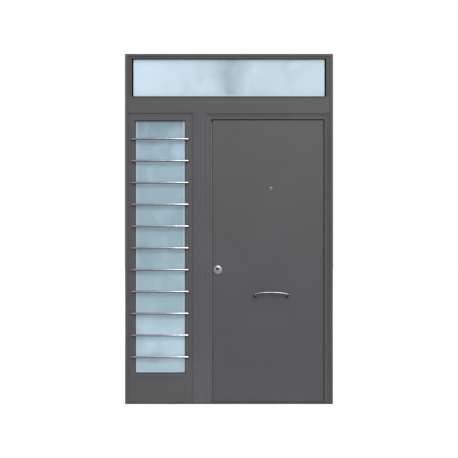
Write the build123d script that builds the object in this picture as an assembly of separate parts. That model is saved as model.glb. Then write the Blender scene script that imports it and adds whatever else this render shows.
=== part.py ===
from build123d import *
import math
import os

# Steel security door with a barred side light beside it and a transom light above it.
# Seen from outside, X runs to the right, Y into the building and Z up.
# The origin lies on the floor, under the middle of the threshold.
# All lengths are in millimetres.

# Outer frame
frame_depth = 80
rim_width = 20
rim_height = 16
rim_proud = 5
edge_round = 6

# Widths across the door set, from left to right
side_light_width = 462
mullion_width = 92
moulding_width = 42
lock_gap = 9
leaf_width = 792
hinge_gap = 6

# Heights up the door set, from the floor
threshold_height = 8
threshold_setback = 10
foot_gap = 6
leaf_height = 2012
head_gap = 8
rail_height = 120
transom_opening_height = 271
transom_side_face = 28.5
transom_head_face = 17

# Stepped moulding round the leaf
moulding_step = 12
moulding_step_run = 5
moulding_ridge = 5
moulding_ridge_start = 27
moulding_ridge_width = 11
moulding_lip_front = 14
lip_depth = 16
seal_thickness = 5
seal_width = 9

# Door leaf
leaf_setback = 14
leaf_thickness = 60
leaf_skin = 6
leaf_edge_round = 4
leaf_overlap = 12
seal_air = 5
inner_panel_margin = 12

# Side light
side_light_setback = 18
side_light_border = 50
side_opening_bottom = 218
bead_width = 26
bead_height = 6
bead_round = 3

# Glazing, the same in both lights but for how far the gasket stands into the opening
glass_setback = 10
glass_thickness = 24
glass_cover = 10
glass_clearance = 4
side_light_sight = 6
transom_side_sight = 10
transom_level_sight = 4
gasket_squash = 2
gasket_bulb = 4
inner_bead_width = 14
inner_bead_setback = 2
inner_bead_joint = 0.3

# Guard bars across the side light
bar_count = 11
bar_radius = 8
bar_length = 412
bar_bow = 7
bar_stand_off = 16
bar_low_margin = 118
bar_high_margin = 134
post_radius = 5
post_sides = 6
post_foot_width = 16
post_foot_thickness = 3
saddle_play = 0.03

# Pull handle on the leaf
handle_height = 782
handle_from_lock_edge = 418
handle_span = 258
handle_rise = 15
handle_bar_radius = 6.5
handle_stand_off = 42
handle_foot_radius = 10
handle_foot_thickness = 4
handle_foot_drop = 16
handle_neck_radius = 5.5
handle_neck_inset = 7

# Lock
lock_height = 958
lock_from_edge = 38.5
escutcheon_radius = 34.5
escutcheon_height = 17
escutcheon_base = 3
escutcheon_mouth_radius = 11
cylinder_radius = 8.5
cylinder_recess = 5
cylinder_fit = 0.2
collar_recess = 3
key_slot_width = 2.4
key_slot_height = 9
key_slot_depth = 6

# Lock faceplate and bolts on the leaf's edge
faceplate_length = 520
faceplate_width = 20
faceplate_thickness = 3
faceplate_above_lock = 40
bolt_radius = 9
bolt_count = 4
bolt_pitch = 34
bolt_proud = 1
latch_width = 16
latch_height = 36
latch_above_bolts = 150

# Strike plate, let in flush with the frame's rebate
strike_thickness = 2
strike_margin = 2
strike_play = 3
bolt_pocket_depth = 16

# Peephole
peephole_height = 1539
peephole_from_lock_edge = 416
peephole_tube_radius = 7
peephole_flange_radius = 14
peephole_flange_height = 3
peephole_flange_chamfer = 2
peephole_fit = 0.2

# Hinges
hinge_heights = (260, 1020, 1780)
hinge_edge_margin = 4.5
knuckle_radius = 8
knuckle_air = 1
knuckle_length = 55
knuckle_gap = 1
pin_radius = 5
pin_play = 0.05
hinge_leaf_plate = 46
hinge_frame_plate = 34
hinge_plate_thickness = 5
hinge_plate_inset = 3
hinge_leaf_web = 14
hinge_frame_web = 12
hinge_cap_height = 5

# Inside handle and thumb turn
lever_above_lock = 92
lever_length = 125
lever_radius = 9
lever_stand_off = 48
inner_plate_width = 46
inner_plate_height = 240
inner_plate_thickness = 5
turn_rose_radius = 15
turn_rose_height = 5
turn_grip_length = 26
turn_grip_width = 7
turn_grip_height = 16

# Anchor holes through the jambs
anchor_radius = 5.25
anchor_depth_place = 22
anchor_heights = (300, 900, 1500, 2100)

# Places across the door set
overall_width = (
    2 * rim_width + side_light_width + mullion_width + 2 * moulding_width
    + lock_gap + leaf_width + hinge_gap
)
wall_right = overall_width / 2
wall_left = -wall_right
side_left = wall_left + rim_width
side_right = side_left + side_light_width
mullion_right = side_right + mullion_width
lip_left = mullion_right + moulding_width
leaf_left = lip_left + lock_gap
leaf_right = leaf_left + leaf_width
lip_right = leaf_right + hinge_gap
door_right = lip_right + moulding_width

# Places up the door set
leaf_bottom = threshold_height + foot_gap
leaf_top = leaf_bottom + leaf_height
lip_top = leaf_top + head_gap
rail_bottom = lip_top + moulding_width
rail_top = rail_bottom + rail_height
transom_top = rail_top + transom_opening_height
head_bottom = transom_top + transom_head_face
overall_height = head_bottom + rim_height

# Places through the door set
rim_front = -frame_depth / 2
frame_back = frame_depth / 2
face_front = rim_front + rim_proud
leaf_front = face_front + leaf_setback
leaf_back = leaf_front + leaf_thickness
skin_back = leaf_front + leaf_skin
inner_panel_front = leaf_back - leaf_skin
lip_back = face_front + moulding_lip_front + lip_depth
step_front = lip_back + seal_thickness + seal_air
side_front = rim_front + side_light_setback
bead_front = side_front - bead_height
glass_front = side_front + glass_setback
glass_back = glass_front + glass_thickness
bolt_line_y = (step_front + inner_panel_front) / 2

# Openings of the two lights
side_opening_left = side_left + side_light_border
side_opening_right = side_right - side_light_border
side_opening_top = rail_bottom - side_light_border
transom_left = side_left + transom_side_face
transom_right = door_right - transom_side_face

# Lock, bolts and faceplate
faceplate_low = lock_height + faceplate_above_lock - faceplate_length / 2
faceplate_high = faceplate_low + faceplate_length
latch_z = lock_height + latch_above_bolts
bolt_heights = [lock_height + (step - (bolt_count - 1) / 2) * bolt_pitch
                for step in range(bolt_count)]

# Hinge axis
hinge_x = lip_right + leaf_overlap + hinge_edge_margin
hinge_y = frame_back + knuckle_radius + knuckle_air

nodes = {}


def block(x, y, z):
    """A box between two places on each axis, given in either order."""
    middle = ((x[0] + x[1]) / 2, (y[0] + y[1]) / 2, (z[0] + z[1]) / 2)
    return Pos(*middle) * Box(abs(x[1] - x[0]), abs(y[1] - y[0]), abs(z[1] - z[0]))


def rod(radius, start, end):
    """A round rod from one point to another."""
    axis = Vector(*end) - Vector(*start)
    plane = Plane(origin=start, z_dir=axis)
    return extrude(plane * Circle(radius), axis.length)


def ring(outer, inner, y):
    """A flat frame between two rectangles (left, right, bottom, top) over a depth."""
    solid = block(outer[:2], y, outer[2:])
    return solid - block(inner[:2], (y[0] - 1, y[1] + 1), inner[2:])


def grown(rectangle, margin):
    """A rectangle (left, right, bottom, top) made larger all round."""
    left, right, bottom, top = rectangle
    return (left - margin, right + margin, bottom - margin, top + margin)


side_opening = (side_opening_left, side_opening_right, side_opening_bottom, side_opening_top)
transom_opening = (transom_left, transom_right, rail_top, transom_top)


def glass_pocket(opening):
    """The rebate behind an opening's lip, which takes the glass and its inner beads."""
    left, right, bottom, top = grown(opening, glass_cover + glass_clearance)
    return block((left, right), (glass_front - gasket_squash, frame_back + 1), (bottom, top))


# Jambs, head and transom rail
def anchor_holes(x):
    """The holes that take the wall anchors, along X between two places."""
    return [rod(anchor_radius, (x[0], anchor_depth_place, z), (x[1], anchor_depth_place, z))
            for z in anchor_heights]


def jamb(outside, inside):
    """A full-height jamb, which is the proud rim at one side."""
    body = block((outside, inside), (rim_front, frame_back), (0, overall_height))
    inward = (inside - outside) / rim_width
    for hole in anchor_holes((outside - inward, inside + inward)):
        body -= hole
    return body


def transom_post(inside, opening_side):
    """The post between a jamb's rim and the transom light, with the glass rebate behind it."""
    post = block((inside, opening_side), (face_front, frame_back), (rail_top, transom_top))
    return post - glass_pocket(transom_opening)


nodes["left_jamb"] = jamb(wall_left, side_left)
nodes["right_jamb"] = jamb(wall_right, door_right)
nodes["transom_left_post"] = transom_post(side_left, transom_left)
nodes["transom_right_post"] = transom_post(door_right, transom_right)

head = block((side_left, door_right), (rim_front, frame_back), (head_bottom, overall_height))
head += block((side_left, door_right), (face_front, frame_back), (transom_top, head_bottom))
nodes["head_rail"] = head - glass_pocket(transom_opening)

cross = block((side_left, door_right), (face_front, frame_back), (rail_bottom, rail_top))
cross += block((side_right, mullion_right), (face_front, frame_back),
               (threshold_height, rail_bottom))
front_edges = cross.edges().filter_by_position(Axis.Y, face_front - 0.1, face_front + 0.1)
rounded_edges = [
    edge for edge in front_edges
    if rail_bottom - 1 < edge.center().Z < rail_bottom + 1
    or (edge.center().Z < rail_bottom and edge.length > mullion_width + 1)
]
cross = fillet(rounded_edges, edge_round)
nodes["transom_rail"] = (
    cross & block((wall_left, wall_right), (rim_front, frame_back), (rail_bottom, rail_top))
) - glass_pocket(transom_opening)
nodes["mullion"] = cross & block((wall_left, wall_right), (rim_front, frame_back),
                                 (threshold_height, rail_bottom))
sill = block((side_left, door_right), (rim_front + threshold_setback, frame_back),
             (0, threshold_height))
sill_edges = sill.edges().filter_by(Axis.X).group_by(Axis.Z)[-1].group_by(Axis.Y)[0]
nodes["threshold"] = chamfer(sill_edges, threshold_height / 2)


# Stepped door frame round the leaf, mitred at its two top corners
def moulding_section(gap):
    """The section of the moulding: across its width first, then its depth."""
    low = face_front + moulding_step
    high = low - moulding_ridge
    lip_front = face_front + moulding_lip_front
    rebate = moulding_width - leaf_overlap - gap
    ridge_end = moulding_ridge_start + moulding_ridge_width
    outline = [
        (0, face_front + edge_round),
        (moulding_step_run, low),
        (moulding_ridge_start, low),
        (moulding_ridge_start + moulding_ridge, high),
        (ridge_end - 1, high),
        (moulding_width, lip_front),
        (moulding_width, lip_back),
        (rebate, lip_back),
        (rebate, frame_back),
        (0, frame_back),
    ]
    radii = [0, 2, 2, 2, 2, 2, 1, 0, 0, 0]
    return make_face(FilletPolyline(*outline, radius=radii, close=True))


def upright_moulding(outer_x, direction, gap):
    """One side of the door frame, cut at 45 degrees where it meets the head."""
    plane = Plane(origin=(outer_x, 0, threshold_height), x_dir=(direction, 0, 0),
                  z_dir=(0, 0, direction))
    height = rail_bottom - threshold_height
    solid = extrude(plane * moulding_section(gap), height * direction)
    return solid - mitre_cutter(outer_x, (outer_x + 2 * direction * moulding_width, rail_bottom))


def mitre_cutter(outer_x, corner):
    """A wedge on one side of the 45 degree plane through an upper corner of the door frame."""
    reach = 2 * moulding_width
    direction = 1 if outer_x < 0 else -1
    corners = [
        (outer_x, 0, rail_bottom),
        (outer_x + direction * reach, 0, rail_bottom - reach),
        (corner[0], 0, corner[1]),
    ]
    face = make_face(Polyline(*corners, close=True))
    return Pos(0, -frame_depth, 0) * extrude(face, 2 * frame_depth, dir=(0, 1, 0))


def head_moulding(gap):
    """The head of the door frame, between its two mitres."""
    plane = Plane(origin=(mullion_right, 0, rail_bottom), x_dir=(0, 0, -1), z_dir=(1, 0, 0))
    solid = extrude(plane * moulding_section(gap), door_right - mullion_right)
    below = rail_bottom - 2 * moulding_width
    left = mitre_cutter(mullion_right, (mullion_right, below))
    right = mitre_cutter(door_right, (door_right, below))
    return solid - left - right


strike_x = lip_left - leaf_overlap - lock_gap
strike_plate_box = block((strike_x - strike_thickness, strike_x),
                         (bolt_line_y - faceplate_width / 2, bolt_line_y + faceplate_width / 2),
                         (faceplate_low - strike_margin, faceplate_high + strike_margin))
bolt_pockets = block(
    (strike_x - bolt_pocket_depth, strike_x + 1),
    (bolt_line_y - bolt_radius, bolt_line_y + bolt_radius),
    (bolt_heights[0] - bolt_radius - strike_play, bolt_heights[-1] + bolt_radius + strike_play))
bolt_pockets += block(
    (strike_x - bolt_pocket_depth, strike_x + 1),
    (bolt_line_y - latch_width / 2, bolt_line_y + latch_width / 2),
    (latch_z - latch_height / 2 - strike_play, latch_z + latch_height / 2 + strike_play))
lock_side = upright_moulding(mullion_right, 1, lock_gap)
nodes["door_frame_lock_side"] = lock_side - strike_plate_box - bolt_pockets
nodes["strike_plate"] = strike_plate_box - bolt_pockets
hinge_side = upright_moulding(door_right, -1, hinge_gap)
for hole in anchor_holes((lip_right, wall_right)):
    hinge_side -= hole
nodes["door_frame_hinge_side"] = hinge_side
nodes["door_frame_head"] = head_moulding(head_gap)

seal_outer = (lip_left - leaf_overlap + 2, lip_right + leaf_overlap - 2, threshold_height,
              lip_top + leaf_overlap - 2)
seal_inner = (seal_outer[0] + seal_width, seal_outer[1] - seal_width, 0, seal_outer[3] - seal_width)
nodes["door_frame_seal"] = ring(seal_outer, seal_inner, (lip_back, lip_back + seal_thickness))

# Side light frame, mitred at its two top corners
side_bottom = threshold_height
panel_top = side_opening_bottom


def side_member(corners):
    """A flat member of the side light, from its outline in the plane of the light."""
    face = make_face(Polyline(*[(x, 0, z) for x, z in corners], close=True))
    solid = extrude(face, frame_back - side_front, dir=(0, 1, 0))
    return Pos(0, side_front, 0) * solid - glass_pocket(side_opening)


left_stile = side_member([
    (side_left, side_bottom),
    (side_opening_left, side_bottom),
    (side_opening_left, side_opening_top),
    (side_left, rail_bottom),
])
for hole in anchor_holes((wall_left, side_opening_left)):
    left_stile -= hole
nodes["side_light_left_stile"] = left_stile
nodes["side_light_right_stile"] = side_member([
    (side_right, side_bottom),
    (side_opening_right, side_bottom),
    (side_opening_right, side_opening_top),
    (side_right, rail_bottom),
])
nodes["side_light_top_rail"] = side_member([
    (side_left, rail_bottom),
    (side_opening_left, side_opening_top),
    (side_opening_right, side_opening_top),
    (side_right, rail_bottom),
])
nodes["side_light_lower_panel"] = side_member([
    (side_opening_left, side_bottom),
    (side_opening_right, side_bottom),
    (side_opening_right, panel_top),
    (side_opening_left, panel_top),
])

bead = ring(grown(side_opening, bead_width), side_opening, (bead_front, side_front))
bead_edges = bead.edges().filter_by_position(Axis.Y, bead_front - 0.1, bead_front + 0.1)
nodes["side_light_moulding"] = fillet(bead_edges, bead_round)


# Glass, gaskets and inner glazing beads
def glass_pane(opening):
    """The sealed glass unit, which reaches behind the lip all round."""
    left, right, bottom, top = grown(opening, glass_cover)
    return block((left, right), (glass_front, glass_back), (bottom, top))


def gasket(opening, side_sight, level_sight):
    """The black gasket: a tongue behind the lip and a bulb that shows round the glass."""
    left, right, bottom, top = opening
    glass_seen = (left + side_sight, right - side_sight, bottom + level_sight, top - level_sight)
    tongue = ring(grown(opening, glass_cover), glass_seen,
                  (glass_front - gasket_squash, glass_front))
    bulb = ring(opening, glass_seen,
                (glass_front - gasket_squash - gasket_bulb, glass_front - gasket_squash))
    return tongue + bulb


def inner_beads(opening):
    """Four beads that hold the glass from inside, butted at the corners."""
    left, right, bottom, top = grown(opening, glass_cover + glass_clearance)
    depth = (glass_back, frame_back - inner_bead_setback)
    between = (left + inner_bead_width + inner_bead_joint,
               right - inner_bead_width - inner_bead_joint)
    strips = [
        block((left, left + inner_bead_width), depth, (bottom, top)),
        block((right - inner_bead_width, right), depth, (bottom, top)),
        block(between, depth, (bottom, bottom + inner_bead_width)),
        block(between, depth, (top - inner_bead_width, top)),
    ]
    return Compound(children=strips)


nodes["side_light_glass"] = glass_pane(side_opening)
nodes["side_light_gasket"] = gasket(side_opening, side_light_sight, side_light_sight)
nodes["side_light_inner_beads"] = inner_beads(side_opening)
nodes["transom_glass"] = glass_pane(transom_opening)
nodes["transom_gasket"] = gasket(transom_opening, transom_side_sight, transom_level_sight)
nodes["transom_inner_beads"] = inner_beads(transom_opening)

# Guard bars, bowed outwards between two posts each
bar_middle_x = (side_left + side_right) / 2
bar_y = bead_front - bar_stand_off
bar_lowest = side_opening_bottom + bar_low_margin
bar_pitch = (side_opening_top - bar_high_margin - bar_lowest) / (bar_count - 1)
post_spread = (side_opening_right - side_opening_left + bead_width) / 2


def guard_bar(z):
    """A round bar that bows outwards between its two ends."""
    left = (bar_middle_x - bar_length / 2, bar_y, z)
    middle = (bar_middle_x, bar_y - bar_bow, z)
    right = (bar_middle_x + bar_length / 2, bar_y, z)
    line = ThreePointArc(left, middle, right)
    return sweep(Plane(origin=left, z_dir=line % 0) * Circle(bar_radius), path=line)


def guard_post(side, z):
    """A hexagonal spacer on a square foot, hollowed at its end to take the bar."""
    bow_radius = ((bar_length / 2) ** 2 + bar_bow ** 2) / (2 * bar_bow)
    seat_x = bar_middle_x + side * post_spread
    seat_y = bar_y - bar_bow + bow_radius - math.sqrt(bow_radius ** 2 - post_spread ** 2)
    lean = side * math.asin(post_spread / bow_radius)
    reach = (2 * bar_radius * math.cos(lean), 2 * bar_radius * math.sin(lean))
    saddle = rod(bar_radius + saddle_play, (seat_x - reach[0], seat_y - reach[1], z),
                 (seat_x + reach[0], seat_y + reach[1], z))
    half = post_foot_width / 2
    foot = block((seat_x - half, seat_x + half), (bead_front, bead_front - post_foot_thickness),
                 (z - half, z + half))
    section = Plane(origin=(seat_x, bead_front, z), z_dir=(0, -1, 0))
    stem = extrude(section * RegularPolygon(post_radius, post_sides), bead_front - seat_y)
    return foot + stem - saddle


bar_heights = [bar_lowest + number * bar_pitch for number in range(bar_count)]
nodes["guard_bars"] = Compound(children=[guard_bar(z) for z in bar_heights])
nodes["guard_bar_posts"] = Compound(
    children=[guard_post(side, z) for z in bar_heights for side in (-1, 1)])

# Door leaf
lock_x = leaf_left + lock_from_edge
peephole_x = leaf_left + peephole_from_lock_edge
core_left = leaf_left - lock_gap - leaf_overlap
core_right = lip_right + leaf_overlap
core_top = lip_top + leaf_overlap
leaf_upright = (leaf_bottom, leaf_top)
cylinder_bore = rod(cylinder_radius + cylinder_fit, (lock_x, leaf_front - 1, lock_height),
                    (lock_x, leaf_back + 1, lock_height))
peephole_bore = rod(peephole_tube_radius + peephole_fit,
                    (peephole_x, leaf_front - 1, peephole_height),
                    (peephole_x, leaf_back + 1, peephole_height))

skin = block((leaf_left, leaf_right), (leaf_front, skin_back), leaf_upright)
skin_edges = skin.edges().filter_by_position(Axis.Y, leaf_front - 0.1, leaf_front + 0.1)
skin = fillet(skin_edges, leaf_edge_round)
nodes["leaf_outer_panel"] = skin - cylinder_bore - peephole_bore

faceplate = block((core_left, core_left + faceplate_thickness),
                  (bolt_line_y - faceplate_width / 2, bolt_line_y + faceplate_width / 2),
                  (faceplate_low, faceplate_high))
core = block((leaf_left, leaf_right), (skin_back, step_front), leaf_upright)
core += block((core_left, core_right), (step_front, inner_panel_front), (leaf_bottom, core_top))
nodes["leaf_core"] = core - faceplate - cylinder_bore - peephole_bore

inner_panel = block((core_left + inner_panel_margin, core_right - inner_panel_margin),
                    (inner_panel_front, leaf_back),
                    (leaf_bottom + inner_panel_margin, core_top - inner_panel_margin))
panel_edges = inner_panel.edges().filter_by_position(Axis.Y, leaf_back - 0.1, leaf_back + 0.1)
inner_panel = fillet(panel_edges, leaf_edge_round)
nodes["leaf_inner_panel"] = inner_panel - cylinder_bore - peephole_bore

# Lock: a domed escutcheon round the cylinder
dome_outline = [
    (0, 0),
    (escutcheon_radius, 0),
    (escutcheon_radius, escutcheon_base),
]
dome_top = (0, escutcheon_height)
dome_rise = escutcheon_height - escutcheon_base
dome_sphere = (escutcheon_radius ** 2 + dome_rise ** 2) / (2 * dome_rise)
dome_shoulder = (
    escutcheon_radius / 2,
    escutcheon_height - dome_sphere + math.sqrt(dome_sphere ** 2 - escutcheon_radius ** 2 / 4),
)
dome_wire = Polyline(*dome_outline) + ThreePointArc(dome_outline[-1], dome_shoulder, dome_top)
dome_wire += Line(dome_top, dome_outline[0])
dome = revolve(make_face(dome_wire), Axis.Y)
dome = Pos(lock_x, leaf_front, lock_height) * Rot(180, 0, 0) * dome
mouth = rod(escutcheon_mouth_radius, (lock_x, leaf_front + 1, lock_height),
            (lock_x, leaf_front - escutcheon_height - 1, lock_height))
nodes["lock_escutcheon"] = dome - mouth
cylinder_front = leaf_front - escutcheon_height + cylinder_recess
cylinder = rod(cylinder_radius, (lock_x, cylinder_front, lock_height),
               (lock_x, leaf_back, lock_height))
collar = rod(escutcheon_mouth_radius - cylinder_fit,
             (lock_x, cylinder_front + collar_recess, lock_height),
             (lock_x, leaf_front, lock_height))
key_slot = block((lock_x - key_slot_width / 2, lock_x + key_slot_width / 2),
                 (cylinder_front - 1, cylinder_front + key_slot_depth),
                 (lock_height - key_slot_height / 2, lock_height + key_slot_height / 2))
nodes["lock_cylinder"] = cylinder + collar - key_slot

# Lock faceplate with its bolts drawn back
for z in bolt_heights:
    faceplate += rod(bolt_radius, (core_left, bolt_line_y, z),
                     (core_left - bolt_proud, bolt_line_y, z))
faceplate += block((core_left - bolt_proud, core_left),
                   (bolt_line_y - latch_width / 2, bolt_line_y + latch_width / 2),
                   (latch_z - latch_height / 2, latch_z + latch_height / 2))
nodes["lock_faceplate"] = faceplate

# Peephole, right through the leaf
flange_front = leaf_front - peephole_flange_height
peephole_front = (peephole_x, leaf_front, peephole_height)
peephole_back = (peephole_x, leaf_back, peephole_height)
outer_flange = rod(peephole_flange_radius, peephole_front, (peephole_x, flange_front, peephole_height))
flange_edge = outer_flange.edges().group_by(Axis.Y)[0]
peephole = rod(peephole_tube_radius, peephole_front, peephole_back)
peephole += chamfer(flange_edge, peephole_flange_chamfer)
peephole += rod(peephole_flange_radius, peephole_back,
                (peephole_x, leaf_back + peephole_flange_height, peephole_height))
nodes["peephole"] = peephole

# Pull handle: an arched bar on two necks that slant down to round feet
handle_x = leaf_left + handle_from_lock_edge
handle_y = leaf_front - handle_stand_off
neck_spread = handle_span / 2 - handle_neck_inset
neck_top = handle_height + handle_rise * (1 - (2 * neck_spread / handle_span) ** 2)
neck_foot = handle_height - handle_foot_drop
handle_left = (handle_x - handle_span / 2, handle_y, handle_height)
handle_right = (handle_x + handle_span / 2, handle_y, handle_height)
handle_top = (handle_x, handle_y, handle_height + handle_rise)
handle_line = ThreePointArc(handle_left, handle_top, handle_right)
handle = sweep(Plane(origin=handle_left, z_dir=handle_line % 0) * Circle(handle_bar_radius),
               path=handle_line)
for side in (-1, 1):
    foot_x = handle_x + side * neck_spread
    foot_front = leaf_front - handle_foot_thickness
    handle += rod(handle_neck_radius, (foot_x, foot_front, neck_foot),
                  (foot_x, handle_y, neck_top))
    handle += rod(handle_foot_radius, (foot_x, leaf_front, neck_foot),
                  (foot_x, foot_front, neck_foot))
nodes["pull_handle"] = handle


# Hinges: the frame half carries the pin and the leaf half turns on it
def hinge_rod(radius, low, high):
    """A rod along the hinge axis between two heights."""
    return rod(radius, (hinge_x, hinge_y, low), (hinge_x, hinge_y, high))


def hinge_frame_half(low, split, top):
    """The lower knuckle with its pin, web and plate on the back of the frame."""
    plate = block((hinge_x + hinge_plate_inset, door_right + hinge_frame_plate / 2),
                  (frame_back, frame_back + hinge_plate_thickness), (low, split))
    web = block((hinge_x, hinge_x + hinge_frame_web), (frame_back, hinge_y), (low, split))
    knuckle = hinge_rod(knuckle_radius, low, split) + hinge_rod(pin_radius, split, top)
    return knuckle + plate + web


def hinge_leaf_half(split, top):
    """The upper knuckle, closed at its top, with its web and plate on the back of the leaf."""
    start = split + knuckle_gap
    end = top + hinge_cap_height
    plate = block((hinge_x - hinge_leaf_web - hinge_leaf_plate, hinge_x - hinge_leaf_web),
                  (leaf_back, leaf_back + hinge_plate_thickness), (start, end))
    web = block((hinge_x - hinge_leaf_web, hinge_x), (leaf_back, hinge_y), (start, end))
    return hinge_rod(knuckle_radius, start, end) + plate + web - hinge_rod(
        pin_radius + pin_play, split, top)


frame_halves = []
leaf_halves = []
for height in hinge_heights:
    frame_halves.append(hinge_frame_half(height - knuckle_length, height, height + knuckle_length))
    leaf_halves.append(hinge_leaf_half(height, height + knuckle_length))
nodes["hinge_frame_halves"] = Compound(children=frame_halves)
nodes["hinge_leaf_halves"] = Compound(children=leaf_halves)

# Inside handle on its plate
lever_height = lock_height + lever_above_lock
lever_y = leaf_back + lever_stand_off
plate_back = leaf_back + inner_plate_thickness
lever = block((lock_x - inner_plate_width / 2, lock_x + inner_plate_width / 2),
              (leaf_back, plate_back),
              (lever_height - inner_plate_height / 2, lever_height + inner_plate_height / 2))
lever += rod(lever_radius, (lock_x, leaf_back, lever_height), (lock_x, lever_y, lever_height))
lever += rod(lever_radius, (lock_x - lever_radius, lever_y, lever_height),
             (lock_x + lever_length, lever_y, lever_height))
nodes["inner_handle"] = lever

# Thumb turn behind the cylinder: a rose with an upright grip
rose_back = plate_back + turn_rose_height
turn = rod(turn_rose_radius, (lock_x, plate_back, lock_height), (lock_x, rose_back, lock_height))
turn += block((lock_x - turn_grip_width / 2, lock_x + turn_grip_width / 2),
              (rose_back, rose_back + turn_grip_height),
              (lock_height - turn_grip_length / 2, lock_height + turn_grip_length / 2))
nodes["thumb_turn"] = turn

os.makedirs("parts", exist_ok=True)
for name, shape in nodes.items():
    export_step(shape, f"parts/{name}.step")
print(len(nodes), "nodes", overall_width, "by", overall_height)
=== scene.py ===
"""Looks of a steel security door set: a leaf, a barred side light and a transom light."""

import logging
import math
from dataclasses import dataclass, field
from enum import Enum
from typing import Any, Callable, Iterable, Optional, Sequence, Union

import bmesh
import bpy
import numpy as np
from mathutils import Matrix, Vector


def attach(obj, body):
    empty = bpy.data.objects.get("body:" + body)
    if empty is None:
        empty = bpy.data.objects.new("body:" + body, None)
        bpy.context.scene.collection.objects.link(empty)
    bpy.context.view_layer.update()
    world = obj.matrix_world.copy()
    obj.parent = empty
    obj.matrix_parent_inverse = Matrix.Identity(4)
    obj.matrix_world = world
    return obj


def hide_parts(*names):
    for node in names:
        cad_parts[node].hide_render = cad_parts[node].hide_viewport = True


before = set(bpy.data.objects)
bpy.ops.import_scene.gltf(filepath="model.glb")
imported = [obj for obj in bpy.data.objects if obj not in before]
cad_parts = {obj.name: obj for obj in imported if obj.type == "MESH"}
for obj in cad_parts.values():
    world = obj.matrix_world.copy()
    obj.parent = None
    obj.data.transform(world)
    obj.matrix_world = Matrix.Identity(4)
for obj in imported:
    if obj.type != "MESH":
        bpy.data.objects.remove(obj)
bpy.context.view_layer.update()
MM = 0.001
SHARP = 0.002  # metres over which one colour of a finish gives way to the next
DOME = 0.5  # length of a bar's domed end over its radius
log = logging.getLogger("door_set")
Points = np.ndarray
Colour = tuple[float, float, float]


class Body(Enum):
    """The two bodies of the door set."""

    FRAME = "frame"
    LEAF = "leaf"


class Slot(Enum):
    """The record's material slots."""

    PAINT = "grey_paint"
    SILL = "threshold"
    STAINLESS = "stainless"
    CHROME = "chrome"
    SATIN = "satin_steel"
    CYLINDER = "cylinder"
    HINGE = "hinge_steel"
    RUBBER = "rubber"
    GLASS = "glass"


class Axis(Enum):
    """An axis of the door set, by its place in a point."""

    X = 0
    Y = 1
    Z = 2


def srgb(red: float, green: float, blue: float) -> Colour:
    """Turns a display colour from 0 to 255 into linear light.

    Args:
        red: Red, 0 to 255.
        green: Green, 0 to 255.
        blue: Blue, 0 to 255.

    Returns:
        The linear colour, 0 to 1.
    """
    shares = np.array([red, green, blue]) / 255
    low = shares / 12.92
    high = ((shares + 0.055) / 1.055) ** 2.4
    return tuple(float(value) for value in np.where(shares <= 0.04045, low, high))


# Shader building

class Signal:
    """A shader socket that takes part in plain arithmetic."""

    def __init__(self, recipe: "Recipe", socket: bpy.types.NodeSocket) -> None:
        """Keeps the socket and the recipe it belongs to."""
        self.recipe = recipe
        self.socket = socket

    def _maths(self, operation: str, first: Any, second: Any, clamp: bool = False) -> "Signal":
        """The result of a Math node over two signals or numbers."""
        settings = {"operation": operation, "use_clamp": clamp}
        return self.recipe.node("ShaderNodeMath", settings, {0: first, 1: second})

    def __add__(self, other: Any) -> "Signal":
        """Sum."""
        return self._maths("ADD", self, other)

    def __radd__(self, other: Any) -> "Signal":
        """Sum with a number in front."""
        return self._maths("ADD", other, self)

    def __sub__(self, other: Any) -> "Signal":
        """Difference."""
        return self._maths("SUBTRACT", self, other)

    def __mul__(self, other: Any) -> "Signal":
        """Product."""
        return self._maths("MULTIPLY", self, other)

    def clipped(self) -> "Signal":
        """The value kept from 0 to 1."""
        return self._maths("ADD", self, 0.0, clamp=True)

    def step(self, start: float, end: float) -> "Signal":
        """Rises smoothly from 0 at start to 1 at end.

        Args:
            start: The value that gives 0.
            end: The value that gives 1.

        Returns:
            The smooth step.
        """
        settings = {"interpolation_type": "SMOOTHSTEP", "clamp": True}
        values = {"Value": self, "From Min": start, "From Max": end, "To Min": 0.0, "To Max": 1.0}
        if start > end:
            values.update({"From Min": end, "From Max": start, "To Min": 1.0, "To Max": 0.0})
        return self.recipe.node("ShaderNodeMapRange", settings, values)


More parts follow.
